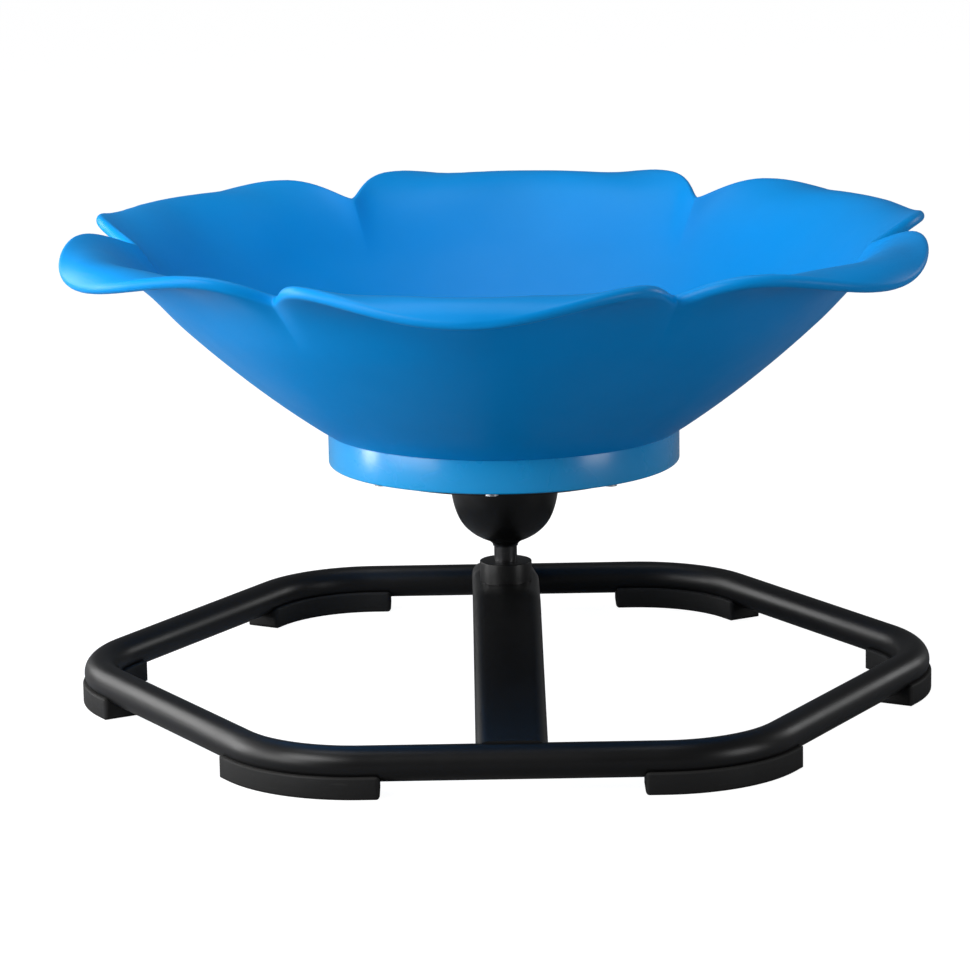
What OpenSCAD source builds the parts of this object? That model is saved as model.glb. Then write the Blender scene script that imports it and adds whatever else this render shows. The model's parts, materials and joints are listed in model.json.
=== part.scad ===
// Spinning flower seat: a petalled bowl turning on a low hexagonal tube frame.
// Origin: centre of the floor contact, Z up, front of the frame towards -Y.

/* [Frame] */
// Diameter of the frame tube
tube_d = 25; // [22:1:28]
// Wall of the frame tube
tube_wall = 1.5; // [1.2:0.1:2]
// Corner to corner size of the hexagon, on the tube's centre line
hex_across = 634; // [600:2:660]
// Centre line radius of the six bends
bend_r = 95; // [80:1:105]

/* [Feet] */
// Rubber under the tube
foot_base = 10; // [8:0.5:14]
// Width of a foot
foot_w = 28; // [26:1:32]
// Height of the foot's saddle sides
foot_h = 16; // [13:0.5:18]
// Straight part at each end of a foot
foot_tail = 13; // [10:1:25]

/* [Arch] */
// Width of the arch tube
arch_w = 50; // [44:1:56]
// Thickness of the arch tube
arch_t = 25; // [20:1:28]
// Corner radius of the arch tube
arch_corner = 9; // [6:0.5:10]
// Wall of the arch tube
arch_wall = 2; // [1.5:0.1:2.5]
// Height of the arch's top face
arch_top = 86; // [80:1:90]
// Half length of the level middle, to the sharp corner
arch_flat = 35; // [30:1:60]
// Radius of the arch's two bends
arch_bend_r = 80; // [60:5:100]

/* [Spindle] */
// Diameter of the spindle, the bore of the bearings
spindle_d = 17; // [17:1:17]
// Diameter of the collar
collar_d = 38.5; // [36:0.5:42]
// Height of the collar
collar_h = 15; // [12:1:16]

/* [Bearings] */
// Outside diameter of a bearing
bearing_od = 40; // [40:1:40]
// Width of a bearing
bearing_w = 12; // [12:1:12]
// Balls in a bearing
ball_count = 8; // [7:1:8]
// Height of the lower bearing's lower face
bearing_z = 133; // [133:0.5:134]
// Gap between the two bearings
bearing_gap = 12; // [12:1:12]

/* [Seat underside] */
// Outside diameter of the skirt ring
ring_d = 259; // [254:1:262]
// Wall of the skirt ring
ring_wall = 3; // [2.5:0.5:4]
// Height of the ring's lower edge
ring_z = 178; // [178:1:180]
// Height of the seam between the ring and the bowl
seam_z = 203; // [200:1:206]
// Radius of the circle of ring screws
ring_screw_r = 117; // [115:1:118]
// Diameter of the mounting plate
plate_d = 206; // [196:1:208]
// Thickness of the mounting plate
plate_t = 5; // [4:0.5:6]
// Radius of the circle of plate bolts
plate_bolt_r = 70; // [65:1:75]

/* [Bowl] */
// Turn of the seat from the frame's front, anticlockwise from above
seat_turn = -5; // [-30:0.1:30]
// Number of petals
petals = 6; // [6:1:6]
// Radius of the bowl's lower edge
bowl_r0 = 131; // [130:1:133]
// Radius where the petals begin to flare
flare_r = 235; // [225:1:240]
// Slope of the wall at the bottom
wall_slope = 0.66; // [0.6:0.01:0.72]
// Curvature of the wall
wall_curve = 0.0014; // [0.001:0.0001:0.0018]
// Wall thickness
bowl_wall = 5; // [4:0.5:6]
// Thickness of the rim
rim_t = 9; // [7:0.5:10]
// Radius of the notch between two petals
notch_r = 271; // [266:1:276]
// Height of the notch
notch_z = 334; // [328:1:338]
// Rise of a petal's shoulder above the notch
shoulder_rise = 17; // [14:1:24]
// Reach of a petal's shoulder beyond the notch
shoulder_reach = 29; // [22:1:32]
// Further reach of the petal's middle
lip_reach = 28; // [20:1:32]
// Drop of the lip at the petal's middle
lip_drop = 16; // [8:1:18]

/* [Hidden] */
$fn = 96;

tube_r = tube_d / 2;
tube_z = foot_base + tube_r;
corner_r = hex_across / 2;
apothem = corner_r * cos(30);
bend_centre = corner_r - bend_r / cos(30);
side_len = corner_r - 2 * bend_r * tan(30);
// straight ends reach this far into a bend, this much slimmer, so they join as one piece
lap = 1;
lap_step = 0.03;
// rounding along the base of a foot, and the step at the top of its sides
foot_round = 2;
foot_step = 1;
bead_w = 1;
bead_h = 0.05;

foot_screw_turn = 24;                 // degrees either side of the bend's middle
foot_screw_d = 4.2;
foot_sink_d = 9;
foot_sink_t = 4;
foot_head_d = 8;
foot_head_t = 2.6;
slot_w = 1;

arch_z = arch_top - arch_t / 2;
arch_land = 1.5;                      // a leg's middle lands this far above the tube's
arch_fall = atan2(arch_z - tube_z - arch_land, apothem - arch_flat);
arch_tangent = arch_bend_r * tan(arch_fall / 2);
leg_len = (apothem - arch_flat) / cos(arch_fall) - arch_tangent + tube_r;

nut_h = 13;
washer_t = 3;
thread_d = 16;
nut_af = 24;
shoulder_d = 23;
shoulder_z = bearing_z - 7;
upper_bearing_z = bearing_z + bearing_w + bearing_gap;
bearing_top = upper_bearing_z + bearing_w;
lock_washer_t = 2;
lock_nut_h = 8;

pitch_r = 14.25;                      // radius of the circle of balls
ball_d = 6.6;
groove_r = 3.45;                      // race groove, a little larger than a ball
inner_race_r = 12.2;
outer_race_r = 16.4;
fit_gap = 0.05;                       // running fits inside the bearings
seal_t = 0.8;
seal_gap = 0.3;
cage_half_t = 0.9;
cage_h = 7.2;
circlip_t = 1.75;
circlip_r = 21.2;
circlip_gap = 5;

housing_r = 25;
housing_z = bearing_z - 2.5;
housing_lip_r = 17;
plate_z = 171.5;
plate_top = plate_z + plate_t;
flange_t = 3;
ring_in_r = 108;
hub_r = 126;
hub_web = 4;
boss_z = ring_z + flange_t;

bell_top_r = 49;
bell_wall = 2.2;
bell_mouth_r = 9.2;
cover_screw_r = 45.5;
cover_screw_d = 3.4;
cover_head_z = 166;
plate_bolt_d = 8;
insert_d = 12;
insert_h = 15;
ring_screw_d = 4.8;
ring_head_d = 9.5;
ring_head_t = 3;
ring_screw_l = 18;
bell_thick_r = 32;                    // inside this radius the bell's floor is thicker

// ---------- bowl ----------
ring_steps = 10;                      // half a petal, notch to middle
wall_steps = 5;
flare_steps = 8;
rim_steps = 4;
wall_span = flare_r - bowl_r0;
flare_tilt = atan(wall_slope + 2 * wall_curve * wall_span);
pinch = 4.6;                          // degrees from the notch to where the shoulder has risen
notch_tilt = 50;
shoulder_tilt = 25;
lip_tilt = 85;
start_pull = 0.36;                    // how far the wall and the rim lead the flare's curve
end_pull = 0.42;
lip_pull = 0.05;

function shoulder(a) = 1 - exp(-pow(a / pinch, 1.5));
function swell(a, p) = pow((1 - cos(a * petals)) / 2, p);
function rim_r(a) = notch_r + shoulder_reach * shoulder(a) + lip_reach * swell(a, 0.8);
function rim_z(a) = notch_z + shoulder_rise * shoulder(a) - lip_drop * swell(a, 1.5);
function rim_tilt(a) = notch_tilt - shoulder_tilt * shoulder(a) - lip_tilt * swell(a, 1.5);

function wall_point(u) = let (t = atan(wall_slope + 2 * wall_curve * u), h = bowl_wall / 2)
    [bowl_r0 + u - h * sin(t), seam_z + wall_slope * u + wall_curve * u * u + h * cos(t), t, h];
function blend(p, q, r, s, v) = p * pow(1 - v, 3) + 3 * q * v * pow(1 - v, 2)
    + 3 * r * v * v * (1 - v) + s * pow(v, 3);
function blend_way(p, q, r, s, v) = (q - p) * pow(1 - v, 2) + 2 * (r - q) * v * (1 - v)
    + (s - r) * v * v;
function flare_point(a, v) = let (w = wall_point(wall_span), p = [w[0], w[1]],
        s = [rim_r(a), rim_z(a)], d = norm(s - p), e = rim_tilt(a),
        q = p + start_pull * d * [cos(flare_tilt), sin(flare_tilt)],
        r = s - (end_pull - lip_pull * swell(a, 1)) * d * [cos(e), sin(e)],
        m = blend(p, q, r, s, v), way = blend_way(p, q, r, s, v))
    [m[0], m[1], atan2(way[1], way[0]), (bowl_wall + (rim_t - bowl_wall) * v * v) / 2];
function middle(a) = concat([for (i = [0:wall_steps - 1]) wall_point(wall_span * i / wall_steps)],
    [for (i = [0:flare_steps]) flare_point(a, i / flare_steps)]);
function side(m, k) = [m[0] - k * m[3] * sin(m[2]), m[1] + k * m[3] * cos(m[2])];
function edge(m, b) = [m[0] + m[3] * (cos(m[2]) * sin(b) - sin(m[2]) * cos(b)),
    m[1] + m[3] * (sin(m[2]) * sin(b) + cos(m[2]) * cos(b))];
floor_top = seam_z + bowl_wall;
floor_r = 112;
// one slice of the bowl, from the floor's inside out over the rim and back to the underside
function slice(a) = let (m = middle(a), n = len(m))
    concat([[floor_r, floor_top], [floor_r + 9, floor_top + 0.9]],
        [for (i = [1:n - 1]) side(m[i], 1)],
        [for (i = [1:rim_steps - 1]) edge(m[n - 1], 180 * i / rim_steps)],
        [for (i = [n - 1:-1:1]) side(m[i], -1)],
        [[bowl_r0, seam_z]]);
function half_turns() = [for (i = [0:ring_steps - 1]) 30 * pow(i / ring_steps, 1.8)];
function turns() = [for (k = [0:petals - 1])
    each concat([for (a = half_turns()) [a, 60 * k + a]],
        [[30, 60 * k + 30]],
        [for (i = [ring_steps - 1:-1:1]) let (a = half_turns()[i]) [a, 60 * k + 60 - a]])];

module hex_bends() {
    for (k = [0:5]) rotate(60 * k) translate([bend_centre, 0, 0]) rotate(-30)
        rotate_extrude(angle = 60) translate([bend_r, 0]) children();
}

module at_foot_screws(k) {
    rotate(60 * k) translate([bend_centre, 0, 0])
        for (s = [-1, 1]) rotate(s * foot_screw_turn) translate([bend_r, 0, 0]) children();
}

module tube_section(grow) {
    difference() {
        circle(tube_r + grow);
        circle(tube_r - tube_wall - grow);
    }
}

// a thin bead closes each joint between a bar and a bend, so the loop is one piece
module base_frame() color("#1c1c1e") {
    difference() {
        translate([0, 0, tube_z]) {
            hex_bends() tube_section(0);
            for (k = [0:5]) rotate(60 * k + 30) translate([apothem, side_len / 2, 0])
                rotate([90, 0, 0]) {
                    linear_extrude(height = side_len) tube_section(0);
                    for (h = [0, side_len]) translate([0, 0, h - bead_w / 2])
                        linear_extrude(height = bead_w) tube_section(bead_h);
                }
        }
        for (k = [0:5]) at_foot_screws(k) translate([0, 0, foot_base - 1])
            cylinder(h = tube_wall + 2, d = foot_screw_d);
    }
}

module arch_section(inset) {
    c = arch_corner - inset;
    for (s = [-1, 1], t = [-1, 1])
        translate([s * (arch_w / 2 - arch_corner), t * (arch_t / 2 - arch_corner)]) circle(c);
    square([arch_w - 2 * arch_corner, arch_t - 2 * inset], center = true);
    square([arch_w - 2 * inset, arch_t - 2 * arch_corner], center = true);
}

module arch_run(inset, more) {
    translate([0, 0, arch_z]) rotate([90, 0, 0])
        linear_extrude(height = 2 * (arch_flat - arch_tangent), center = true)
        arch_section(inset);
    for (m = [0, 1]) mirror([0, m, 0]) translate([0, arch_flat - arch_tangent, arch_z - arch_bend_r])
        rotate([0, -90, 0]) {
            rotate_extrude(angle = arch_fall) translate([arch_bend_r, 0]) rotate(90)
                arch_section(inset);
            rotate(arch_fall) translate([arch_bend_r, -lap, 0]) rotate([-90, 0, 0]) rotate(90)
                linear_extrude(height = lap + leg_len + more) arch_section(inset + lap_step);
        }
}

module support_arch() color("#1a1a1c") {
    difference() {
        arch_run(0, 0);
        arch_run(arch_wall, 1);
        for (m = [0, 1]) mirror([0, m, 0]) {
            translate([0, apothem, tube_z]) rotate([0, 90, 0])
                cylinder(h = 2 * arch_w, r = tube_r, center = true);
            translate([-arch_w, apothem, 0]) cube([2 * arch_w, arch_t * 2, arch_top]);
        }
        translate([0, 0, arch_top - arch_t - 1]) cylinder(h = arch_t + 2, d = spindle_d);
    }
}

module foot_section(inset) {
    difference() {
        union() {
            translate([foot_round - foot_w / 2, inset])
                square([foot_w - 2 * foot_round, foot_h - 2 * inset]);
            translate([inset - foot_w / 2, foot_round])
                square([foot_w - 2 * inset, foot_h - foot_round - foot_step - inset]);
            for (s = [-1, 1]) translate([s * (foot_w / 2 - foot_round), foot_round])
                circle(foot_round - inset, $fn = 32);
        }
        translate([0, tube_z]) circle(tube_r + inset);
    }
}

module foot(k) color("#2b2c2d") {
    difference() {
        rotate(60 * k) translate([bend_centre, 0, 0]) {
            rotate(-30) rotate_extrude(angle = 60) translate([bend_r, 0]) foot_section(0);
            for (s = [-1, 1]) rotate(30 * s) translate([bend_r, s < 0 ? lap : foot_tail, 0])
                rotate([90, 0, 0]) linear_extrude(height = lap + foot_tail)
                    foot_section(lap_step);
        }
        at_foot_screws(k) {
            translate([0, 0, -1]) cylinder(h = foot_sink_t + 1, d = foot_sink_d);
            translate([0, 0, foot_sink_t - 1]) cylinder(h = foot_base, d = foot_screw_d);
        }
    }
}

module foot_front_left() { foot(4); }
module foot_front_right() { foot(5); }
module foot_right() { foot(0); }
module foot_back_right() { foot(1); }
module foot_back_left() { foot(2); }
module foot_left() { foot(3); }

module foot_screws() color("#8f9194") {
    for (k = [0:5]) at_foot_screws(k) difference() {
        union() {
            translate([0, 0, foot_sink_t - foot_head_t]) cylinder(h = foot_head_t, d = foot_head_d);
            translate([0, 0, foot_sink_t - 1]) cylinder(h = foot_base + foot_sink_t, d = foot_screw_d);
        }
        for (t = [0, 90]) rotate(t) translate([0, 0, foot_sink_t - foot_head_t])
            cube([5, slot_w, foot_head_t - 0.2], center = true);
    }
}

module spindle_collar() color("#1f1f21") {
    translate([0, 0, arch_top]) rotate_extrude() polygon([[spindle_d / 2, 0], [collar_d / 2, 0],
        [collar_d / 2, collar_h - 0.8], [collar_d / 2 - 0.8, collar_h], [spindle_d / 2, collar_h]]);
}

module spindle() color("#77797c") {
    rotate_extrude() polygon([
        [0, arch_top - arch_t - washer_t - nut_h - 3],
        [thread_d / 2 - 1, arch_top - arch_t - washer_t - nut_h - 3],
        [thread_d / 2, arch_top - arch_t - washer_t - nut_h - 2],
        [thread_d / 2, arch_top - arch_t], [spindle_d / 2, arch_top - arch_t],
        [spindle_d / 2, shoulder_z], [shoulder_d / 2, shoulder_z],
        [shoulder_d / 2, bearing_z], [spindle_d / 2, bearing_z],
        [spindle_d / 2, bearing_top], [thread_d / 2, bearing_top],
        [thread_d / 2, bearing_top + lock_washer_t + lock_nut_h + 2],
        [thread_d / 2 - 1, bearing_top + lock_washer_t + lock_nut_h + 3],
        [0, bearing_top + lock_washer_t + lock_nut_h + 3]]);
}

module washer(z, r, t) {
    translate([0, 0, z]) difference() {
        cylinder(h = t, r = r);
        translate([0, 0, -1]) cylinder(h = t + 2, d = thread_d);
    }
}

module hex_nut(z, h) {
    translate([0, 0, z]) difference() {
        intersection() {
            cylinder(h = h, r = nut_af / 2 / cos(30), $fn = 6);
            rotate_extrude() polygon([[0, 0], [nut_af / 2 - 0.6, 0], [nut_af / 2 + 1.3, 1.1],
                [nut_af / 2 + 1.3, h - 1.1], [nut_af / 2 - 0.6, h], [0, h]]);
        }
        translate([0, 0, -1]) cylinder(h = h + 2, d = thread_d);
    }
}

module spindle_washer() color("#8d8f92") washer(arch_top - arch_t - washer_t, 15, washer_t);
module spindle_nut() color("#85878a") hex_nut(arch_top - arch_t - washer_t - nut_h, nut_h);
module lock_washer() color("#8d8f92") washer(bearing_top, 11.7, lock_washer_t);
module lock_nut() color("#85878a") hex_nut(bearing_top + lock_washer_t, lock_nut_h);

module inner_ring(z) color("#c5c8cb") {
    translate([0, 0, z]) rotate_extrude() difference() {
        translate([spindle_d / 2, 0]) square([inner_race_r - spindle_d / 2, bearing_w]);
        translate([pitch_r, bearing_w / 2]) circle(groove_r);
    }
}

module outer_ring(z) color("#c5c8cb") {
    translate([0, 0, z]) rotate_extrude() difference() {
        translate([outer_race_r, 0]) square([bearing_od / 2 - outer_race_r, bearing_w]);
        translate([pitch_r, bearing_w / 2]) circle(groove_r);
    }
}

module balls(z) color("#e4e7ea") {
    for (k = [0:ball_count - 1]) rotate(360 / ball_count * k)
        translate([pitch_r, 0, z + bearing_w / 2]) sphere(d = ball_d);
}

module cage(z) color("#b08d3c") {
    difference() {
        translate([0, 0, z + (bearing_w - cage_h) / 2]) difference() {
            cylinder(h = cage_h, r = pitch_r + cage_half_t);
            translate([0, 0, -1]) cylinder(h = cage_h + 2, r = pitch_r - cage_half_t);
        }
        for (k = [0:ball_count - 1]) rotate(360 / ball_count * k)
            translate([pitch_r, 0, z + bearing_w / 2]) sphere(d = ball_d + 2 * fit_gap);
    }
}

module lower_inner_ring() { inner_ring(bearing_z); }
module upper_inner_ring() { inner_ring(upper_bearing_z); }
module lower_outer_ring() { outer_ring(bearing_z); }
module upper_outer_ring() { outer_ring(upper_bearing_z); }
module lower_balls() { balls(bearing_z); }
module upper_balls() { balls(upper_bearing_z); }
module lower_cage() { cage(bearing_z); }
module upper_cage() { cage(upper_bearing_z); }

module inner_spacer() color("#9a9da0") {
    translate([0, 0, bearing_z + bearing_w]) difference() {
        cylinder(h = bearing_gap, d = shoulder_d);
        translate([0, 0, -1]) cylinder(h = bearing_gap + 2, d = spindle_d);
    }
}

module bearing_seals() color("#232323") {
    for (z = [bearing_z, upper_bearing_z], s = [seal_gap, bearing_w - seal_gap - seal_t])
        translate([0, 0, z + s]) difference() {
            cylinder(h = seal_t, r = outer_race_r);
            translate([0, 0, -1]) cylinder(h = seal_t + 2, r = inner_race_r + seal_gap);
        }
}

module housing_circlip() color("#55585b") {
    translate([0, 0, bearing_z - circlip_t]) difference() {
        cylinder(h = circlip_t, r = circlip_r);
        translate([0, 0, -1]) cylinder(h = circlip_t + 2, r = housing_lip_r + 0.5);
        translate([0, -circlip_gap / 2, -1]) cube([housing_r, circlip_gap, circlip_t + 2]);
    }
}

module bearing_housing() color("#8a8d90") {
    rotate_extrude() difference() {
        translate([housing_lip_r, housing_z])
            square([housing_r - housing_lip_r, plate_z - housing_z]);
        translate([0, housing_z - 1]) square([bearing_od / 2, bearing_z + bearing_w - housing_z + 1]);
        translate([0, bearing_z - circlip_t]) square([circlip_r, circlip_t]);
        translate([0, upper_bearing_z]) square([bearing_od / 2, bearing_w + 10]);
    }
}

// half outline of the bell, from the mouth round the spindle up to the flange
bell_outline = [[bell_mouth_r, 112.5], [9.9, 114.4], [12.6, 116.6], [18, 119], [24, 122.6], [29.6, 127.6],
    [33.6, 133.2], [36.3, 139.4], [38.2, 146], [39.5, 153], [40.5, 160], [41.4, 164.5], [42.8, 167.3],
    [45, 168.7], [bell_top_r, 169.5]];
function bell_inner(p) = [max(p[0] - bell_wall, bell_mouth_r), p[1] + (p[0] < bell_thick_r ? bell_wall * 0.8 : 0.8)];

module bell_cover() color("#1d1d1f") {
    n = len(bell_outline);
    difference() {
        rotate_extrude() polygon(concat(bell_outline, [[bell_top_r, plate_z]],
            [for (i = [n - 4:-1:0]) bell_inner(bell_outline[i])]));
        for (k = [0:3]) rotate(90 * k + 45) translate([cover_screw_r, 0, 150])
            cylinder(h = 40, d = cover_screw_d);
    }
}

module cover_screws() color("#3a3b3d") {
    for (k = [0:3]) rotate(90 * k + 45) translate([cover_screw_r, 0, 0]) {
        translate([0, 0, cover_head_z]) cylinder(h = 2.6, d = 6);
        translate([0, 0, cover_head_z + 2]) cylinder(h = plate_top - cover_head_z - 2, d = cover_screw_d);
    }
}

module mounting_plate() color("#202022") {
    difference() {
        translate([0, 0, plate_z]) cylinder(h = plate_t, d = plate_d);
        translate([0, 0, plate_z - 1]) {
            cylinder(h = plate_t + 2, r = 20.5);
            for (k = [0:5]) rotate(60 * k) translate([plate_bolt_r, 0, 0])
                cylinder(h = plate_t + 2, d = 8.4);
            for (k = [0:3]) rotate(90 * k + 45) translate([cover_screw_r, 0, 0])
                cylinder(h = plate_t + 2, d = cover_screw_d);
        }
    }
}

module plate_bolts() color("#4a4b4d") {
    for (k = [0:5]) rotate(60 * k) translate([plate_bolt_r, 0, 0]) {
        translate([0, 0, plate_z - 5.3]) cylinder(h = 5.3, r = 6.5 / cos(30), $fn = 6);
        translate([0, 0, plate_z - 1.6]) cylinder(h = 1.6, d = 17);
        translate([0, 0, plate_z - 1]) cylinder(h = insert_h + plate_t, d = plate_bolt_d);
    }
}

module threaded_inserts() color("#b99a4b") {
    for (k = [0:5]) rotate(60 * k) translate([plate_bolt_r, 0, plate_top]) difference() {
        cylinder(h = insert_h, d = insert_d);
        translate([0, 0, -1]) cylinder(h = insert_h + 2, d = plate_bolt_d);
    }
}

module skirt_ring() color("#1583d6") {
    difference() {
        rotate_extrude() polygon([[ring_in_r, ring_z], [ring_d / 2 - 0.6, ring_z],
            [ring_d / 2, ring_z + 0.6], [ring_d / 2, seam_z], [ring_d / 2 - ring_wall, seam_z],
            [ring_d / 2 - ring_wall, boss_z], [ring_in_r, boss_z]]);
        for (k = [0:7]) rotate(45 * k) translate([ring_screw_r, 0, ring_z - 1])
            cylinder(h = flange_t + 2, d = 5.2);
    }
}

module ring_screws() color("#b9bcc0") {
    for (k = [0:7]) rotate(45 * k) translate([ring_screw_r, 0, 0]) difference() {
        union() {
            translate([0, 0, ring_z - ring_head_t]) cylinder(h = ring_head_t, d = ring_head_d);
            translate([0, 0, ring_z - 1]) cylinder(h = ring_screw_l, d = ring_screw_d);
        }
        for (t = [0, 90]) rotate(t) translate([0, 0, ring_z - ring_head_t])
            cube([5.5, 1.2, ring_head_t], center = true);
    }
}

module bowl_shell() {
    cols = turns();
    first = slice(0);
    n = len(first);
    c = len(cols);
    points = concat([for (t = cols, p = slice(t[0]))
            [p[0] * cos(t[1]), p[0] * sin(t[1]), p[1]]],
        [[0, 0, floor_top], [0, 0, seam_z]]);
    polyhedron(points = points, faces = concat(
        [for (i = [0:c - 1], j = [0:n - 2]) let (k = (i + 1) % c)
            each [[i * n + j, i * n + j + 1, k * n + j], [k * n + j, i * n + j + 1, k * n + j + 1]]],
        [for (i = [0:c - 1]) [c * n, i * n, ((i + 1) % c) * n]],
        [for (i = [0:c - 1]) [c * n + 1, ((i + 1) % c) * n + n - 1, i * n + n - 1]]));
}

module seat_bowl() color("#0f86e0") bowl_shell();

module seat_hub() color("#1479cf") {
    difference() {
        union() {
            translate([0, 0, seam_z - hub_web]) cylinder(h = hub_web, r = hub_r);
            for (k = [0:7]) rotate(45 * k) translate([ring_screw_r, 0, boss_z])
                cylinder(h = seam_z - boss_z - 1, d = 11);
            for (k = [0:5]) rotate(60 * k) translate([plate_bolt_r, 0, plate_top])
                cylinder(h = seam_z - plate_top - 1, d = 20);
            for (k = [0:5]) rotate(60 * k + 30) translate([56, -1.5, plate_top])
                cube([46, 3, seam_z - plate_top - 1]);
            translate([0, 0, plate_top]) cylinder(h = seam_z - plate_top - 1, r = 58);
        }
        translate([0, 0, plate_top - 1]) cylinder(h = seam_z - hub_web - plate_top + 1, r = 55);
        for (k = [0:7]) rotate(45 * k) translate([ring_screw_r, 0, boss_z - 1])
            cylinder(h = ring_screw_l - ring_head_t + 2, d = ring_screw_d);
        for (k = [0:5]) rotate(60 * k) translate([plate_bolt_r, 0, plate_top - 1])
            cylinder(h = insert_h + 2, d = insert_d);
    }
}

module seat_side() { rotate(seat_turn) children(); }

base_frame();
support_arch();
foot_front_left();
foot_front_right();
foot_right();
foot_back_right();
foot_back_left();
foot_left();
foot_screws();
spindle_collar();
spindle();
spindle_washer();
spindle_nut();
lower_inner_ring();
upper_inner_ring();
inner_spacer();
lock_washer();
lock_nut();
seat_side() seat_bowl();
seat_side() seat_hub();
seat_side() skirt_ring();
seat_side() ring_screws();
seat_side() mounting_plate();
seat_side() plate_bolts();
seat_side() threaded_inserts();
bearing_housing();
seat_side() bell_cover();
seat_side() cover_screws();
lower_outer_ring();
upper_outer_ring();
bearing_seals();
housing_circlip();
lower_cage();
lower_balls();
upper_cage();
upper_balls();
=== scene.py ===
import bpy
import json
from math import atan, atan2, cos, exp, pi, radians, sin, sqrt, tan
from mathutils import Matrix, Vector


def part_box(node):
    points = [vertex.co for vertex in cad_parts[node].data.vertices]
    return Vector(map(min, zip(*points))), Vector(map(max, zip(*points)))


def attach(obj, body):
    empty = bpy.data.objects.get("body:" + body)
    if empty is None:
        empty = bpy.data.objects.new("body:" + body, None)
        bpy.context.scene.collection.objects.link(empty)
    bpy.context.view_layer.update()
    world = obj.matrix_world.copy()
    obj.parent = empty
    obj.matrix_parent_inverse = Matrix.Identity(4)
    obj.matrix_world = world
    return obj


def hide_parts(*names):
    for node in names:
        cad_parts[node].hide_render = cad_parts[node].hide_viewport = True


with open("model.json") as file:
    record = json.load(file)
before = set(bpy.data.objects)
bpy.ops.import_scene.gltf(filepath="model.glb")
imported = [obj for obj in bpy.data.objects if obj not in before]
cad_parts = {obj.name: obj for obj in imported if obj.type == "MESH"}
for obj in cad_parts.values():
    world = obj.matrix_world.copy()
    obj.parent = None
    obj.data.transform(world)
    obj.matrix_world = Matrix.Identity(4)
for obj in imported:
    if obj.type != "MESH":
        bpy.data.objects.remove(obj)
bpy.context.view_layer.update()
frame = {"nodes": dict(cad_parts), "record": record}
hairGap = 0.000001  # metres: closer than this, two points are one


# small helpers, the way it is done at the keyboard
def deselectAll():
    if bpy.context.object and bpy.context.object.mode != "OBJECT":
        bpy.ops.object.mode_set(mode="OBJECT")
    bpy.ops.object.select_all(action="DESELECT")


def activate(piece):
    deselectAll()
    piece.select_set(True)
    bpy.context.view_layer.objects.active = piece


def named(name):
    piece = bpy.context.object
    piece.name = name
    piece.data.name = name
    return piece


def editMode():
    bpy.ops.object.mode_set(mode="EDIT")


def objectMode():
    bpy.ops.object.mode_set(mode="OBJECT")


def push(x=0.0, y=0.0, z=0.0):  # extrudes what is selected
    bpy.ops.mesh.extrude_region_move(TRANSFORM_OT_translate={"value": (x, y, z)})


def turnRound(steps, angle, centre, axis=(0, 0, 1)):  # spins what is selected, anticlockwise
    bpy.ops.mesh.spin(steps=steps, angle=-angle, center=centre, axis=axis)


def pick(piece, test):  # leaves the vertices that pass the test selected, in edit mode
    bpy.ops.mesh.select_mode(type="VERT")
    bpy.ops.mesh.select_all(action="DESELECT")
    objectMode()
    for vertex in piece.data.vertices:
        vertex.select = test(vertex.co)
    editMode()


def closeUp(limit=0.00001):
    bpy.ops.mesh.select_all(action="SELECT")
    bpy.ops.mesh.remove_doubles(threshold=limit)
    bpy.ops.mesh.normals_make_consistent(inside=False)


def smooth(piece, angle):
    activate(piece)
    bpy.ops.object.shade_smooth_by_angle(angle=radians(angle))


def paint(piece, material):
    piece.data.materials.clear()
    piece.data.materials.append(material)


def startPoint(name, x, y, z):  # a mesh of one selected vertex, left in edit mode
    deselectAll()
    bpy.ops.mesh.primitive_plane_add(size=0.01)
    piece = named(name)
    editMode()
    bpy.ops.mesh.select_all(action="SELECT")
    bpy.ops.mesh.merge(type="CENTER")
    bpy.ops.transform.translate(value=(x, y, z))
    return piece


def chain(points):  # extrudes the selected vertex from point to point
    for here, there in zip(points, points[1:]):
        push(*(Vector(there) - Vector(here)))


def closedChain(points):  # the same, back to the first point
    chain(points + points[:1])
    bpy.ops.mesh.select_all(action="SELECT")
    bpy.ops.mesh.remove_doubles(threshold=hairGap)


def lathe(name, outline, steps):  # outline: (radius, height) in millimetres, round a section
    points = [(r * 0.001, 0, z * 0.001) for r, z in outline]
    piece = startPoint(name, *points[0])
    closedChain(points)
    turnRound(steps, 2 * pi, (0, 0, 0))
    closeUp()
    objectMode()
    return piece


def arc(r, z, radius, start, stop, count):  # angles in degrees, from +radius towards +height
    turns = [radians(start + (stop - start) * i / count) for i in range(count + 1)]
    return [(r + radius * cos(t), z + radius * sin(t)) for t in turns]


def finished(piece, body, slot, node):  # the piece stands for the node
    paint(piece, materials[slot])
    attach(piece, body)
    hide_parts(node)
    print("made", piece.name)


# shader groups shared by the materials
def newGroup(name, inputs, outputs):
    tree = bpy.data.node_groups.new(name, "ShaderNodeTree")
    for label, kind, value in inputs:
        socket = tree.interface.new_socket(name=label, in_out="INPUT", socket_type=kind)
        socket.default_value = value
    for label, kind in outputs:
        tree.interface.new_socket(name=label, in_out="OUTPUT", socket_type=kind)
    return tree, tree.nodes.new("NodeGroupInput"), tree.nodes.new("NodeGroupOutput")


def feed(tree, value, socket):  # links another socket, or sets a plain value
    if isinstance(value, bpy.types.NodeSocket):
        tree.links.new(value, socket)
    else:
        socket.default_value = value


def noise(tree, vector, scale, detail, roughness=0.5):
    node = tree.nodes.new("ShaderNodeTexNoise")
    for label, value in (("Vector", vector), ("Scale", scale), ("Detail", detail), ("Roughness", roughness)):
        feed(tree, value, node.inputs[label])
    return node


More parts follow.
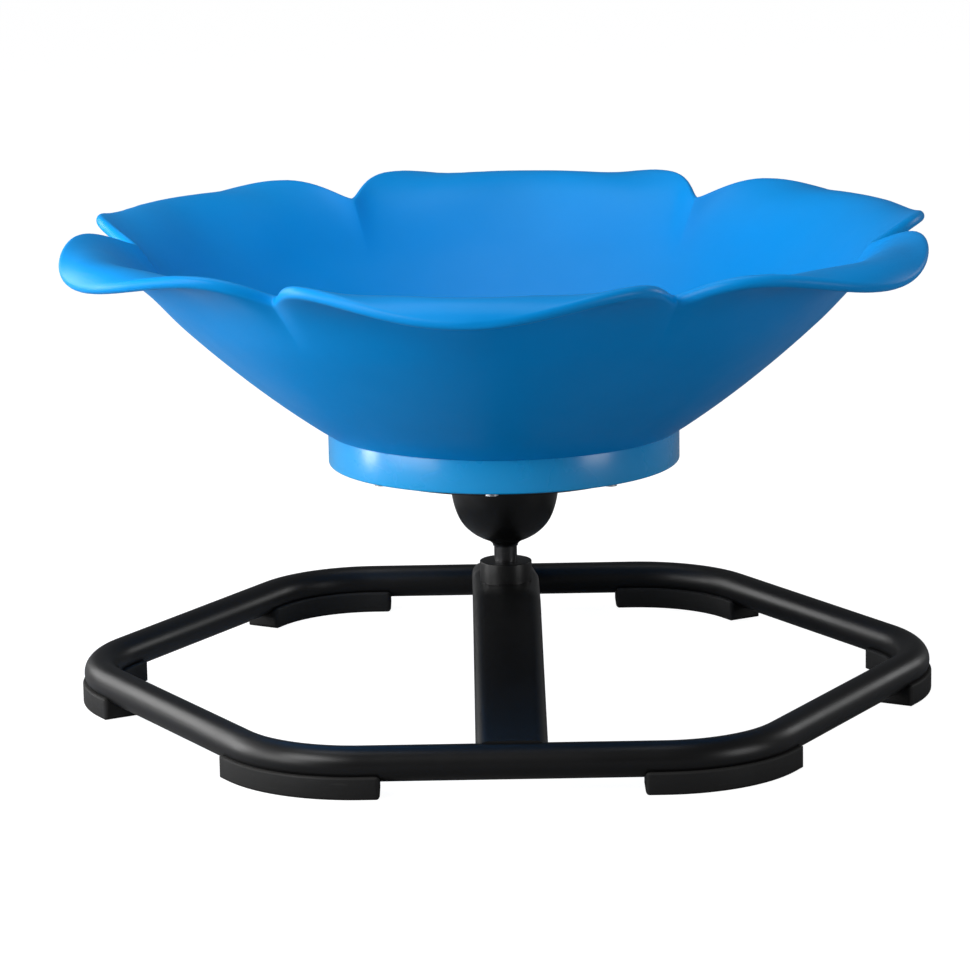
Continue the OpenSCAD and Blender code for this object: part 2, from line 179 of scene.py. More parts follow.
def mathNode(tree, kind, first, second):
    node = tree.nodes.new("ShaderNodeMath")
    node.operation = kind
    feed(tree, first, node.inputs[0])
    feed(tree, second, node.inputs[1])
    return node.outputs[0]


def spread(tree, value, low, high):  # stretches a noise, which keeps mostly to 0.3 to 0.7
    node = tree.nodes.new("ShaderNodeMapRange")
    node.inputs["From Min"].default_value = 0.3
    node.inputs["From Max"].default_value = 0.7
    node.inputs["To Min"].default_value = low
    node.inputs["To Max"].default_value = high
    tree.links.new(value, node.inputs["Value"])
    return node.outputs[0]


def fineGrainGroup():  # moulded or sprayed grain: a height and a slow mottle
    tree, into, out = newGroup("fineGrain", [
        ("Vector", "NodeSocketVector", (0, 0, 0)), ("Grain Scale", "NodeSocketFloat", 900.0),
        ("Mottle Scale", "NodeSocketFloat", 14.0), ("Coarseness", "NodeSocketFloat", 0.35)],
        [("Height", "NodeSocketFloat"), ("Mottle", "NodeSocketFloat")])
    fine = noise(tree, into.outputs["Vector"], into.outputs["Grain Scale"], 2)
    broader = mathNode(tree, "MULTIPLY", into.outputs["Grain Scale"], 0.23)  # four times as wide
    coarse = noise(tree, into.outputs["Vector"], broader, 2)
    both = mathNode(tree, "MULTIPLY", coarse.outputs["Fac"], into.outputs["Coarseness"])
    tree.links.new(mathNode(tree, "ADD", fine.outputs["Fac"], both), out.inputs["Height"])
    slow = noise(tree, into.outputs["Vector"], into.outputs["Mottle Scale"], 4, 0.6)
    tree.links.new(spread(tree, slow.outputs["Fac"], 0, 1), out.inputs["Mottle"])
    return tree


def dustGroup():  # light dust that settles on faces that look up
    tree, into, out = newGroup("settledDust", [
        ("Vector", "NodeSocketVector", (0, 0, 0)), ("Amount", "NodeSocketFloat", 0.1)],
        [("Mask", "NodeSocketFloat")])
    normal = tree.nodes.new("ShaderNodeNewGeometry")
    split = tree.nodes.new("ShaderNodeSeparateXYZ")
    tree.links.new(normal.outputs["Normal"], split.inputs["Vector"])
    facing = mathNode(tree, "MAXIMUM", split.outputs["Z"], 0.0)
    patches = noise(tree, into.outputs["Vector"], 22, 5, 0.65)
    specks = spread(tree, patches.outputs["Fac"], 0.15, 1)
    both = mathNode(tree, "MULTIPLY", facing, specks)
    tree.links.new(mathNode(tree, "MULTIPLY", both, into.outputs["Amount"]), out.inputs["Mask"])
    return tree


def scuffGroup():  # thin rubbed lines, drawn out level
    tree, into, out = newGroup("scuffs", [
        ("Vector", "NodeSocketVector", (0, 0, 0)), ("Scale", "NodeSocketFloat", 30.0),
        ("Amount", "NodeSocketFloat", 0.3)], [("Mask", "NodeSocketFloat")])
    stretch = tree.nodes.new("ShaderNodeMapping")
    stretch.inputs["Scale"].default_value = (1, 1, 9)
    tree.links.new(into.outputs["Vector"], stretch.inputs["Vector"])
    lines = noise(tree, stretch.outputs["Vector"], into.outputs["Scale"], 6, 0.7)
    ramp = tree.nodes.new("ShaderNodeValToRGB")
    ramp.color_ramp.elements[0].position = 0.60
    ramp.color_ramp.elements[1].position = 0.72
    tree.links.new(lines.outputs["Fac"], ramp.inputs["Fac"])
    tree.links.new(mathNode(tree, "MULTIPLY", ramp.outputs["Color"], into.outputs["Amount"]),
                   out.inputs["Mask"])
    return tree


grainGroup, dust, scuffs = fineGrainGroup(), dustGroup(), scuffGroup()


def addGroup(tree, group, **values):
    node = tree.nodes.new("ShaderNodeGroup")
    node.node_tree = group
    coordinates = tree.nodes.get("coordinates")
    tree.links.new(coordinates.outputs["Object"], node.inputs["Vector"])
    for label, value in values.items():
        node.inputs[label.replace("_", " ")].default_value = value
    return node


def mixColour(tree, factor, first, second):
    node = tree.nodes.new("ShaderNodeMix")
    node.data_type = "RGBA"
    for index, value in ((0, factor), (6, first), (7, second)):
        feed(tree, (*value, 1) if isinstance(value, tuple) else value, node.inputs[index])
    return node.outputs[2]


# one recipe for every coated, moulded or metal surface
def surface(name, look):
    material = bpy.data.materials.new(name)
    material.use_nodes = True
    tree = material.node_tree
    shader = tree.nodes["Principled BSDF"]
    coordinates = tree.nodes.new("ShaderNodeTexCoord")
    coordinates.name = "coordinates"
    grain = addGroup(tree, grainGroup, Grain_Scale=look["grainScale"], Mottle_Scale=look["mottleScale"],
                     Coarseness=look["coarseness"])
    dirt = addGroup(tree, dust, Amount=look["dust"])
    worn = addGroup(tree, scuffs, Scale=look["scuffScale"], Amount=look["scuffs"])
    tint = mixColour(tree, grain.outputs["Mottle"], look["colour"], look["colourTwo"])
    tint = mixColour(tree, worn.outputs["Mask"], tint, look["wornColour"])
    tint = mixColour(tree, dirt.outputs["Mask"], tint, look["dustColour"])
    tree.links.new(tint, shader.inputs["Base Color"])
    rough = spread(tree, grain.outputs["Mottle"], look["roughness"][0], look["roughness"][1])
    rough = mathNode(tree, "ADD", rough, mathNode(tree, "MULTIPLY", worn.outputs["Mask"], look["wornRough"]))
    rough = mathNode(tree, "ADD", rough, mathNode(tree, "MULTIPLY", dirt.outputs["Mask"], look["dustRough"]))
    tree.links.new(rough, shader.inputs["Roughness"])
    bump = tree.nodes.new("ShaderNodeBump")
    bump.inputs["Strength"].default_value = look["bump"]
    bump.inputs["Distance"].default_value = look["bumpDepth"]
    tree.links.new(grain.outputs["Height"], bump.inputs["Height"])
    tree.links.new(bump.outputs["Normal"], shader.inputs["Normal"])
    shader.inputs["Metallic"].default_value = look["metallic"]
    shader.inputs["Coat Weight"].default_value = look["coat"]
    shader.inputs["Coat Roughness"].default_value = look["coatRoughness"]
    shader.inputs["Specular IOR Level"].default_value = look["specular"]
    return material


plainLook = {"colour": (0.5, 0.5, 0.5), "colourTwo": (0.45, 0.45, 0.45), "wornColour": (0.5, 0.5, 0.5),
             "dustColour": (0.6, 0.6, 0.58), "dust": 0.03, "scuffs": 0.1, "scuffScale": 30,
             "roughness": (0.35, 0.42), "grainScale": 900, "mottleScale": 12, "coarseness": 0.4,
             "bump": 0.15, "bumpDepth": 0.0003, "metallic": 0.0, "coat": 0.0, "coatRoughness": 0.1,
             "specular": 0.5, "wornRough": 0.12, "dustRough": 0.5}
looks = {
    "bowl_plastic": {"colour": (0.0, 0.328, 0.88), "colourTwo": (0.0, 0.314, 0.85),
                     "wornColour": (0.03, 0.29, 0.8), "dustColour": (0.35, 0.5, 0.7), "dust": 0.02,
                     "scuffs": 0.05, "roughness": (0.36, 0.41), "grainScale": 1300, "bump": 0.10,
                     "specular": 0.16},
    "hub_plastic": {"colour": (0.004, 0.16, 0.5), "colourTwo": (0.005, 0.15, 0.46),
                    "wornColour": (0.03, 0.25, 0.6), "roughness": (0.45, 0.52), "grainScale": 700},
    "ring_gloss": {"colour": (0.001, 0.37, 0.83), "colourTwo": (0.001, 0.355, 0.80),
                   "wornColour": (0.05, 0.40, 0.8), "dust": 0.01, "scuffs": 0.06,
                   "roughness": (0.26, 0.31), "grainScale": 500, "bump": 0.03, "coat": 0.5,
                   "coatRoughness": 0.2, "specular": 0.4},
    "frame_coat": {"colour": (0.0035, 0.0035, 0.0037), "colourTwo": (0.0045, 0.0045, 0.0047),
                   "wornColour": (0.03, 0.03, 0.032), "dustColour": (0.1, 0.1, 0.1), "dust": 0.015,
                   "scuffs": 0.06, "roughness": (0.35, 0.40), "grainScale": 1500, "coarseness": 0.8,
                   "bump": 0.10, "specular": 0.4},
    "bell_coat": {"colour": (0.0035, 0.0035, 0.0037), "colourTwo": (0.0045, 0.0045, 0.0047),
                  "wornColour": (0.03, 0.03, 0.032), "roughness": (0.30, 0.36), "grainScale": 1300,
                  "bump": 0.10},
    "foot_rubber": {"colour": (0.006, 0.006, 0.0062), "colourTwo": (0.009, 0.009, 0.009),
                    "wornColour": (0.05, 0.05, 0.048), "dustColour": (0.25, 0.24, 0.22), "dust": 0.06,
                    "scuffs": 0.25, "roughness": (0.62, 0.74), "grainScale": 650, "coarseness": 0.9,
                    "bump": 0.3, "specular": 0.35},
    "zinc_steel": {"colour": (0.62, 0.63, 0.64), "colourTwo": (0.5, 0.51, 0.53),
                   "wornColour": (0.75, 0.75, 0.76), "roughness": (0.25, 0.34), "metallic": 1.0,
                   "scuffs": 0.3, "grainScale": 1500},
    "black_steel": {"colour": (0.05, 0.05, 0.052), "colourTwo": (0.07, 0.07, 0.072),
                    "wornColour": (0.3, 0.3, 0.31), "roughness": (0.28, 0.38), "metallic": 0.9,
                    "scuffs": 0.3, "grainScale": 1500},
    "bearing_steel": {"colour": (0.7, 0.71, 0.72), "colourTwo": (0.64, 0.65, 0.66),
                      "wornColour": (0.8, 0.8, 0.8), "roughness": (0.12, 0.18), "metallic": 1.0,
                      "scuffs": 0.1},
    "brass": {"colour": (0.72, 0.5, 0.2), "colourTwo": (0.6, 0.4, 0.15),
              "wornColour": (0.85, 0.65, 0.35), "roughness": (0.25, 0.35), "metallic": 1.0},
    "seal_rubber": {"colour": (0.02, 0.02, 0.02), "colourTwo": (0.03, 0.03, 0.03),
                    "roughness": (0.55, 0.65), "grainScale": 800, "bump": 0.2},
}
materials = {slot: surface(slot + "_finish", {**plainLook, **look}) for slot, look in looks.items()}
for entry in frame["record"]["subparts"]:
    paint(frame["nodes"][entry["node"]], materials[entry["material_slot"]])
print("materials ready:", len(materials))

# camera and lights
cameraView = {"aim": (0, 0, 0.150), "distance": 3.2, "elevation": 12.0, "yaw": -0.5, "roll": -0.85,
              "lens": 160.49, "sensor": 36, "shiftX": -0.02038, "shiftY": 0.01015, "clipEnd": 50}


def addCamera(view):
    elevation, yaw, roll = (radians(view[k]) for k in ("elevation", "yaw", "roll"))
    back = Vector((sin(yaw) * cos(elevation), -cos(yaw) * cos(elevation), sin(elevation)))
    right = (-back).cross(Vector((0, 0, 1))).normalized()
    up = right.cross(-back)
    across = right * cos(roll) + up * sin(roll)
    upright = up * cos(roll) - right * sin(roll)
    place = Vector(view["aim"]) + back * view["distance"]
    bpy.ops.object.camera_add()
    camera = named("viewCamera")
    camera.matrix_world = Matrix((across, upright, back)).transposed().to_4x4()
    camera.location = place
    camera.data.sensor_fit = "HORIZONTAL"
    camera.data.sensor_width = view["sensor"]
    camera.data.lens = view["lens"]
    camera.data.shift_x = view["shiftX"]
    camera.data.shift_y = view["shiftY"]
    camera.data.clip_end = view["clipEnd"]
    bpy.context.scene.camera = camera


softLights = [  # name, place, aim, width, height, power
    ("keyLeft", (-1.9, -1.5, 1.8), (0, 0, 0.25), 1.1, 1.3, 30),
    ("topSoft", (-0.3, 0.1, 2.3), (0, 0, 0.2), 1.6, 1.6, 15),
    ("sideLeft", (-1.45, -0.80, 0.36), (0, 0, 0.22), 1.1, 0.66, 9),
    ("sideRight", (1.6, -0.95, 0.36), (0, 0, 0.22), 0.6, 0.66, 6),
    ("backLeft", (-1.7, 1.0, 0.70), (-0.1, 0, 0.1), 1.2, 0.8, 12),
    ("backRight", (1.8, 1.0, 0.60), (0.1, 0, 0.1), 0.6, 0.6, 4),
    ("ringStrip", (-1.15, 0.05, 0.28), (0, 0, 0.19), 0.22, 0.5, 4.5),
    ("insideRight", (-1.2, -1.9, 1.5), (0.1, 0.25, 0.3), 0.8, 0.8, 9),
]


def addLights(lights):
    for name, place, aim, width, height, power in lights:
        bpy.ops.object.light_add(type="AREA", location=place)
        lamp = named(name)
        lamp.rotation_euler = (Vector(aim) - Vector(place)).to_track_quat("-Z", "Y").to_euler()
        lamp.data.shape = "RECTANGLE"
        lamp.data.size = width
        lamp.data.size_y = height
        lamp.data.energy = power


# the floor lights the object a little, and is white to the camera only
studio = {"floorSize": 40, "floorDrop": 0.0002, "floorColour": (0.30, 0.30, 0.303), "floorRough": 0.9,
          "floorSpecular": 0.1, "glow": 0.96, "skyColour": (0.93, 0.96, 1), "skyStrength": 0.10}


def addStudio():
    bpy.ops.mesh.primitive_plane_add(size=studio["floorSize"], location=(0, 0, -studio["floorDrop"]))
    floor = named("floor")
    white = bpy.data.materials.new("floorWhite")
    white.use_nodes = True
    shader = white.node_tree.nodes["Principled BSDF"]
    shader.inputs["Base Color"].default_value = (*studio["floorColour"], 1)
    shader.inputs["Roughness"].default_value = studio["floorRough"]
    shader.inputs["Specular IOR Level"].default_value = studio["floorSpecular"]
    shader.inputs["Emission Color"].default_value = (1, 1, 1, 1)
    rays = white.node_tree.nodes.new("ShaderNodeLightPath")
    glow = mathNode(white.node_tree, "MULTIPLY", rays.outputs["Is Camera Ray"], studio["glow"])
    white.node_tree.links.new(glow, shader.inputs["Emission Strength"])
    paint(floor, white)
    world = bpy.data.worlds.new("softWorld")
    bpy.context.scene.world = world
    world.use_nodes = True
    sky = world.node_tree.nodes["Background"]
    sky.inputs["Color"].default_value = (*studio["skyColour"], 1)
    sky.inputs["Strength"].default_value = studio["skyStrength"]
    bpy.context.scene.view_settings.view_transform = "Standard"


# the hexagonal loop: a circle carried along six bars and six bends
tube = {"sides": 40, "bendSteps": 20, "bendR": 0.095}
low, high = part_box("base_frame")
tubeR = (high.z - low.z) / 2
tubeZ = (high.z + low.z) / 2
flatHalf = high.y - tubeR  # centre line of the back bar
cornerR = flatHalf / cos(pi / 6)
bendR = tube["bendR"]
barLength = cornerR - 2 * bendR * tan(pi / 6)
bendCentre = cornerR - bendR / cos(pi / 6)


def cornerAngle(k):
    return radians(60 * k)


def makeBaseFrame():
    start = Vector((-barLength / 2, -flatHalf, tubeZ))
    deselectAll()
    bpy.ops.mesh.primitive_circle_add(vertices=tube["sides"], radius=tubeR, fill_type="NOTHING",
                                      location=start, rotation=(0, pi / 2, 0))
    piece = named("frameTube")
    bpy.ops.object.transform_apply(location=True, rotation=True, scale=True)
    editMode()
    bpy.ops.mesh.select_all(action="SELECT")
    for k in range(6):
        heading = cornerAngle(k)
        push(barLength * cos(heading), barLength * sin(heading), 0)
        turn = cornerAngle(k - 1)
        centre = (bendCentre * cos(turn), bendCentre * sin(turn), tubeZ)
        turnRound(tube["bendSteps"], pi / 3, centre)
    closeUp(0.0002)  # the last ring lands on the first
    objectMode()
    smooth(piece, 60)
    finished(piece, "frame", "frame_coat", "base_frame")


# the arch: a rounded section carried up one leg, over the middle and down the other
arch = {"thick": 0.025, "cornerR": 0.009, "bendR": 0.080, "flatHalf": 0.035, "landing": 0.0015,
        "spare": 0.006, "cornerSteps": 10, "bendSteps": 10}
archLow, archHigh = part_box("support_arch")
archWide = archHigh.x - archLow.x
archZ = archHigh.z - arch["thick"] / 2
archFall = atan2(archZ - tubeZ - arch["landing"], flatHalf - arch["flatHalf"])
archTangent = arch["bendR"] * tan(archFall / 2)
legLength = (flatHalf - arch["flatHalf"]) / cos(archFall) - archTangent


def makeArch():
    deselectAll()
    bpy.ops.mesh.primitive_plane_add(size=1)
    piece = named("archTube")
    piece.scale = (archWide, arch["thick"], 1)
    bpy.ops.object.transform_apply(location=False, rotation=False, scale=True)
    piece.rotation_euler = (pi / 2 + archFall, 0, 0)
    bpy.ops.object.transform_apply(location=False, rotation=True, scale=False)
    editMode()
    bpy.ops.mesh.select_all(action="SELECT")
    bpy.ops.mesh.bevel(offset=arch["cornerR"], segments=arch["cornerSteps"], affect="VERTICES")
    bpy.ops.mesh.select_all(action="SELECT")
    bpy.ops.mesh.delete(type="ONLY_FACE")
    bpy.ops.mesh.select_all(action="SELECT")
    reach = legLength + arch["spare"]  # cut off level with the tube below
    dy, dz = reach * cos(archFall), reach * sin(archFall)
    bendY = arch["flatHalf"] - archTangent
    endY = bendY + arch["bendR"] * sin(archFall) + dy
    endZ = archZ - arch["bendR"] * (1 - cos(archFall)) - dz
    bpy.ops.transform.translate(value=(0, -endY, endZ))
    push(0, dy, dz)
    axisZ = archZ - arch["bendR"]
    turnRound(arch["bendSteps"], -archFall, (0, -bendY, axisZ), (1, 0, 0))
    push(0, 2 * bendY, 0)
    turnRound(arch["bendSteps"], -archFall, (0, bendY, axisZ), (1, 0, 0))
    push(0, dy, -dz)
    closeUp()
    for way in (-1, 1):
        bpy.ops.mesh.select_all(action="SELECT")
        bpy.ops.mesh.bisect(plane_co=(0, way * flatHalf, 0), plane_no=(0, way, 0), use_fill=True,
                            clear_outer=True)
    closeUp()
    objectMode()
    smooth(piece, 40)
    finished(piece, "frame", "frame_coat", "support_arch")


# a closed section carried along stations; place() puts each point of each ring
def sweep(name, section, stations, place):
    points = [(x, 0, z) for x, z in section]
    piece = startPoint(name, *points[0])
    closedChain(points)
    for _ in stations[1:]:
        push(0, 1, 0)
    for end in (0, len(stations) - 1):
        pick(piece, lambda co: abs(co.y - end) < 0.5)
        bpy.ops.mesh.edge_face_add()
    objectMode()
    for vertex in piece.data.vertices:
        vertex.co = place(stations[round(vertex.co.y)], vertex.co.x, vertex.co.z)
    editMode()
    closeUp(2 * hairGap)
    objectMode()
    return piece


# feet: a saddle section carried round the right-hand bend, its ends rounded, and copied to the others
foot = {"half": 0.0139, "top": 0.016, "lip": 0.0016, "base": 0.002, "tail": 0.013, "endRound": 0.0035,
        "baseRound": 0.85, "topRound": 0.7, "arcSteps": 20, "saddleSteps": 14, "endSteps": 6, "edgeSteps": 5}
arcHalf = bendR * pi / 6
footNodes = ("foot_right", "foot_back_right", "foot_back_left", "foot_left", "foot_front_left",
             "foot_front_right")


def footSection():
    half, top, base, lip = foot["half"], foot["top"], foot["base"], foot["lip"]
    first = atan2(top - tubeZ, sqrt(tubeR ** 2 - (tubeZ - top) ** 2))
    turns = [first + (-pi - 2 * first) * i / foot["saddleSteps"] for i in range(foot["saddleSteps"] + 1)]
    saddle = [(tubeR * cos(t), tubeZ + tubeR * sin(t)) for t in turns]
    edge = foot["edgeSteps"]
    side = arc(half - base, base, base, -90, 0, edge) + arc(half - lip, top - lip, lip, 0, 90, edge)
    return side + saddle + [(-x, z) for x, z in reversed(side)]


def footStations():  # distance along the foot from its middle, and how far in its ends are rounded
    bends = [pi / 2 * i / foot["endSteps"] for i in range(foot["endSteps"] + 1)]
    rounding = [(arcHalf + foot["tail"] - foot["endRound"] * (1 - sin(t)), foot["endRound"] * (1 - cos(t)))
                for t in bends]
    curve = [(arcHalf * (2 * i / foot["arcSteps"] - 1), 0) for i in range(foot["arcSteps"] + 1)]
    return [(-s, inset) for s, inset in reversed(rounding)] + curve + rounding


def footPlace(station, x, z):
    along, inset = station
    onArc = max(-arcHalf, min(arcHalf, along))
    x = max(inset - foot["half"], min(foot["half"] - inset, x))
    z = min(max(z, inset * foot["baseRound"]), foot["top"] - inset * foot["topRound"])
    angle = onArc / bendR
    out, way = Vector((cos(angle), sin(angle), 0)), Vector((-sin(angle), cos(angle), 0))
    return Vector((bendCentre, 0, z)) + out * (bendR + x) + way * (along - onArc)


def makeFeet():
    first = sweep("rubberFoot", footSection(), footStations(), footPlace)
    smooth(first, 35)
    feet = [first]
    for k in range(1, len(footNodes)):
        activate(first)
        bpy.ops.object.duplicate()
        feet.append(bpy.context.object)
        feet[k].rotation_euler = (0, 0, cornerAngle(k))
        bpy.ops.object.transform_apply(location=False, rotation=True, scale=False)
    for piece, node in zip(feet, footNodes):
        activate(piece)
        named(node.replace("foot", "rubberFoot"))
        finished(piece, "frame", "foot_rubber", node)


# the bowl: one ring of points, carried from the floor's middle out over the rim and back underneath;
# lengths in millimetres, angles in degrees
bowl = {"petals": 6, "turn": -5, "foot": 131, "seam": 203, "slope": 0.66, "curve": 0.0014, "wall": 5,
        "rim": 9, "flare": 235, "notchR": 271, "notchZ": 334, "rise": 17, "reach": 29, "lip": 28,
        "drop": 16, "pinch": 4.6, "notchTilt": 50, "shoulderTilt": 25, "lipTilt": 85, "startPull": 0.36,
        "endPull": 0.42, "lipPull": 0.05, "floorR": 106, "floorPull": 0.4, "floorSteps": 10,
        "columns": 30, "crowding": 1.6, "wallSteps": 12, "firstWall": 3, "flareSteps": 22, "rimSteps": 10}
flareSpan = bowl["flare"] - bowl["foot"]
flareTilt = atan(bowl["slope"] + 2 * bowl["curve"] * flareSpan)


def curveAt(p, v):  # a smooth curve's place at v, from its four numbers along one axis
    w = 1 - v
    return p[0] * w ** 3 + 3 * p[1] * v * w * w + 3 * p[2] * v * v * w + p[3] * v ** 3


def curveWay(p, v):  # and which way it goes there
    w = 1 - v
    return (p[1] - p[0]) * w * w + 2 * (p[2] - p[1]) * v * w + (p[3] - p[2]) * v * v


def shoulderAt(a):  # a is in degrees from the nearest notch
    return 1 - exp(-(a / bowl["pinch"]) ** 1.5)


def swellAt(a, power):
    return max(0.0, (1 - cos(radians(bowl["petals"] * a))) / 2) ** power


def wallPoint(u):  # middle of the wall: radius, height, tilt, half thickness
    tilt, half = atan(bowl["slope"] + 2 * bowl["curve"] * u), bowl["wall"] / 2
    rise = bowl["slope"] * u + bowl["curve"] * u * u
    return bowl["foot"] + u - half * sin(tilt), bowl["seam"] + rise + half * cos(tilt), tilt, half


def flarePoint(a, v):  # middle of the flaring petal
    startR, startZ = wallPoint(flareSpan)[:2]
    rimR = bowl["notchR"] + bowl["reach"] * shoulderAt(a) + bowl["lip"] * swellAt(a, 0.8)
    rimZ = bowl["notchZ"] + bowl["rise"] * shoulderAt(a) - bowl["drop"] * swellAt(a, 1.5)
    tilt = radians(bowl["notchTilt"] - bowl["shoulderTilt"] * shoulderAt(a)
                   - bowl["lipTilt"] * swellAt(a, 1.5))
    away = sqrt((rimR - startR) ** 2 + (rimZ - startZ) ** 2)
    push0, push1 = bowl["startPull"] * away, (bowl["endPull"] - bowl["lipPull"] * swellAt(a, 1)) * away
    rs = startR, startR + push0 * cos(flareTilt), rimR - push1 * cos(tilt), rimR
    zs = startZ, startZ + push0 * sin(flareTilt), rimZ - push1 * sin(tilt), rimZ
    half = (bowl["wall"] + (bowl["rim"] - bowl["wall"]) * v * v) / 2
    return curveAt(rs, v), curveAt(zs, v), atan2(curveWay(zs, v), curveWay(rs, v)), half


def offsetPoint(m, k):  # half the thickness away from the middle, inside for 1 and outside for -1
    return m[0] - k * m[3] * sin(m[2]), m[1] + k * m[3] * cos(m[2])


def floorPoints():  # from the moulding mark in the middle to where the wall begins, inside
    top, edge = bowl["seam"] + bowl["wall"], bowl["floorR"]
    mark = [(2.2, -0.5), (3.2, -0.5), (3.8, 0.0), (5.4, 0.35), (7.0, 0.35), (7.6, 0.0), (9.0, 0.0)]
    flat = [(r, top + z) for r, z in mark] + [(r, top) for r in (20, 40, 60, 80, 96, edge)]
    wallFoot = wallPoint(flareSpan * bowl["firstWall"] / bowl["wallSteps"])
    endR, endZ = offsetPoint(wallFoot, 1)
    pull = bowl["floorPull"] * (endR - edge)
    rs = edge, edge + pull, endR - pull * cos(wallFoot[2]), endR
    zs = top, top, endZ - pull * sin(wallFoot[2]), endZ
    steps = [i / bowl["floorSteps"] for i in range(1, bowl["floorSteps"])]
    return flat + [(curveAt(rs, v), curveAt(zs, v)) for v in steps]


def bowlSlice(a):  # one slice, from the middle of the floor round to the middle of the underside
    walls = [wallPoint(flareSpan * i / bowl["wallSteps"]) for i in range(bowl["wallSteps"])]
    flares = [flarePoint(a, i / bowl["flareSteps"]) for i in range(bowl["flareSteps"] + 1)]
    rimR, rimZ, tilt, half = flares[-1]
    turns = [pi * i / bowl["rimSteps"] for i in range(1, bowl["rimSteps"])]
    lip = [(rimR + half * (cos(tilt) * sin(t) - sin(tilt) * cos(t)),
            rimZ + half * (sin(tilt) * sin(t) + cos(tilt) * cos(t))) for t in turns]
    inside = [offsetPoint(m, 1) for m in walls[bowl["firstWall"]:] + flares]
    outside = [offsetPoint(m, -1) for m in list(reversed(flares)) + list(reversed(walls[1:]))]
    low, edge = bowl["seam"], bowl["foot"]
    base = [(edge + 0.2, low + 0.35), (edge - 0.3, low), (edge - 5, low), (60, low), (3, low)]
    return floorPoints() + inside + lip + outside + base


def makeBowl():
    across = 2 * bowl["petals"] * bowl["columns"]
    reach = 180 / bowl["petals"]  # degrees from a notch to the middle of a petal
    half = [reach * (i / bowl["columns"]) ** bowl["crowding"] for i in range(bowl["columns"] + 1)]
    petal = [(a, a) for a in half] + [(a, 2 * reach - a) for a in reversed(half[1:-1])]
    slices = {a: bowlSlice(a) for a in half}
    rings = len(slices[0])
    deselectAll()
    bpy.ops.mesh.primitive_circle_add(vertices=across, radius=1, fill_type="NOTHING")
    piece = named("petalBowl")
    editMode()
    bpy.ops.mesh.select_all(action="SELECT")
    for _ in range(rings - 1):
        push(0, 0, 1)
    for end in (0, rings - 1):
        pick(piece, lambda co: abs(co.z - end) < 0.5)
        bpy.ops.mesh.edge_face_add()
    objectMode()
    low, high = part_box("seat_bowl")
    for vertex in piece.data.vertices:
        column = round(atan2(vertex.co.y, vertex.co.x) / (2 * pi) * across) % across
        a, place = petal[column % len(petal)]
        turn = radians(place + 2 * reach * (column // len(petal)) + bowl["turn"])
        r, z = slices[a][round(vertex.co.z)]
        spot = Vector((r * cos(turn), r * sin(turn), z)) * 0.001
        vertex.co = [max(b, min(t, c)) for c, b, t in zip(spot, low, high)]
    editMode()
    closeUp(2 * hairGap)
    objectMode()
    smooth(piece, 50)
    finished(piece, "seat", "bowl_plastic", "seat_bowl")


# the glossy ring under the bowl, with fine rolled edges
ring = {"radius": 129.5, "wall": 3, "inside": 108, "low": 178, "high": 203, "lowEdge": 1.4, "highEdge": 0.7,
        "steps": 240}


def makeRing():
    radius, low, high, wall = (ring[k] for k in ("radius", "low", "high", "wall"))
    lowEdge, highEdge = ring["lowEdge"], ring["highEdge"]
    outline = ([(ring["inside"], low)] + arc(radius - lowEdge, low + lowEdge, lowEdge, -90, 0, 6)
               + arc(radius - highEdge, high - highEdge, highEdge, 0, 90, 4)
               + [(radius - wall, high), (radius - wall, low + wall), (ring["inside"], low + wall)])
    piece = lathe("skirtRing", outline, ring["steps"])
    smooth(piece, 35)
    finished(piece, "seat", "ring_gloss", "skirt_ring")


def smoothLine(points, steps):  # a rounded line through the points
    line = []
    padded = [points[0]] + points + [points[-1]]
    for a, b, c, d in zip(padded, padded[1:], padded[2:], padded[3:]):
        for i in range(steps):
            t = i / steps
            line.append(tuple(0.5 * (2 * q + (r - p) * t + (2 * p - 5 * q + 4 * r - s) * t * t
                                     + (3 * q - p - 3 * r + s) * t ** 3) for p, q, r, s in zip(a, b, c, d)))
    return line + [points[-1]]


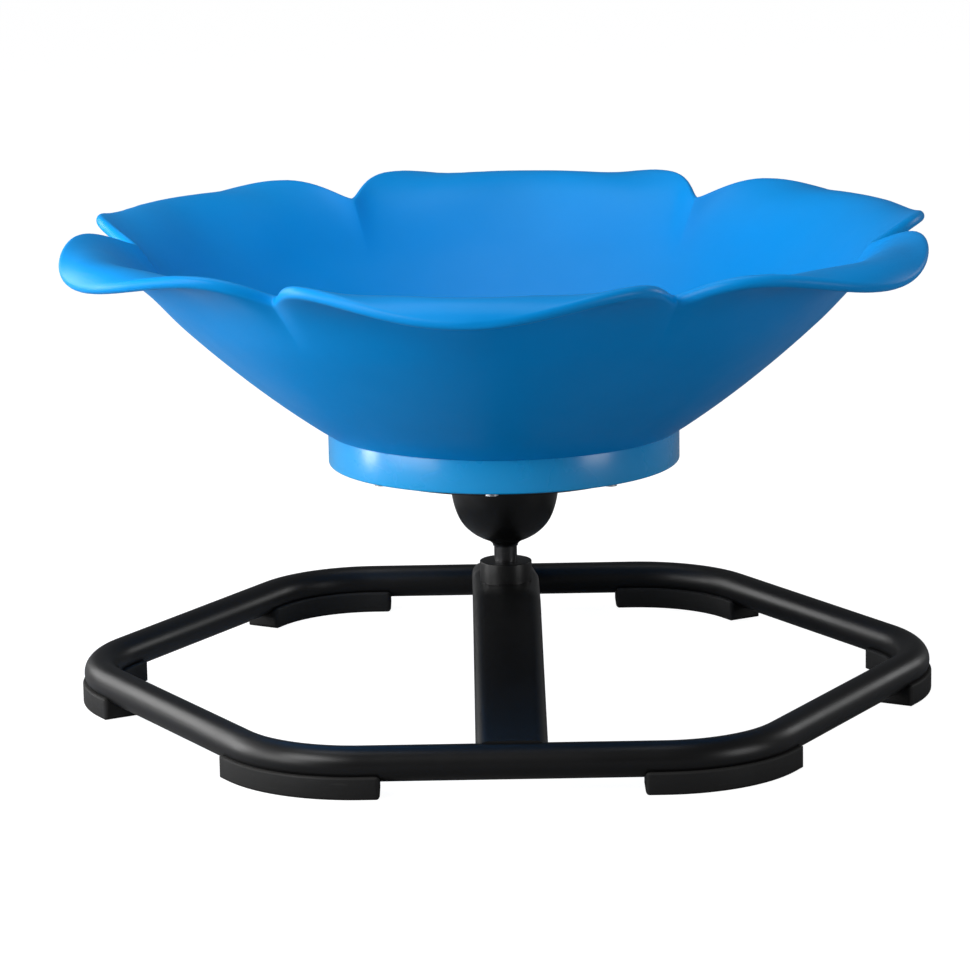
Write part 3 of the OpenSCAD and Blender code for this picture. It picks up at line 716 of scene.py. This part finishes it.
# the bell that hides the bearings: a rounded outside line, a thinner lining and a flange
bell = {"outside": [(9.2, 112.5), (9.9, 114.4), (12.6, 116.6), (18, 119), (24, 122.6), (29.6, 127.6),
                    (33.6, 133.2), (36.3, 139.4), (38.2, 146), (39.5, 153), (40.5, 160), (41.4, 164.5),
                    (42.8, 167.3), (45, 168.7), (48.4, 169.5)],
        "wall": 2.2, "mouth": 9.2, "floorWithin": 32, "floorRise": 1.76, "sideRise": 0.8, "flange": 49,
        "flangeLow": 170, "flangeHigh": 171.5, "lineSteps": 5, "steps": 128}


def liningPoint(r, z):
    rise = bell["floorRise"] if r < bell["floorWithin"] else bell["sideRise"]
    return max(r - bell["wall"], bell["mouth"]), z + rise


def makeBell():
    lining = [liningPoint(r, z) for r, z in bell["outside"][:-3]]
    flange = [(bell["flange"], bell["flangeLow"]), (bell["flange"], bell["flangeHigh"])]
    outline = smoothLine(bell["outside"], bell["lineSteps"]) + flange + list(reversed(lining))
    piece = lathe("bellCover", outline, bell["steps"])
    smooth(piece, 40)
    finished(piece, "seat", "bell_coat", "bell_cover")


# collar and rod
collar = {"radius": 19.25, "bore": 8.5, "low": 86, "high": 101, "edge": 0.6, "steps": 128}
rod = {"outline": [(0.01, 42), (7, 42), (8, 43), (8, 61), (8.5, 61), (8.5, 126), (11.2, 126), (11.5, 126.3),
                   (11.5, 133), (8.5, 133), (8.5, 169), (8, 169), (8, 181), (7, 182), (0.01, 182)],
       "steps": 96}


def makeCollar():
    radius, bore, low, high, edge = (collar[k] for k in ("radius", "bore", "low", "high", "edge"))
    outline = [(bore, low), (radius, low)] + arc(radius - edge, high - edge, edge, 0, 90, 4) + [(bore, high)]
    piece = lathe("spindleCollar", outline, collar["steps"])
    smooth(piece, 35)
    finished(piece, "frame", "frame_coat", "spindle_collar")


def makeRod():
    piece = lathe("spindleRod", rod["outline"], rod["steps"])
    smooth(piece, 35)
    finished(piece, "frame", "black_steel", "spindle")


# the stages, in order
addCamera(cameraView)
addLights(softLights)
addStudio()
print("camera, lights and floor ready")
makeBaseFrame()
makeArch()
makeFeet()
makeBowl()
makeRing()
makeBell()
makeCollar()
makeRod()
print("every piece made")
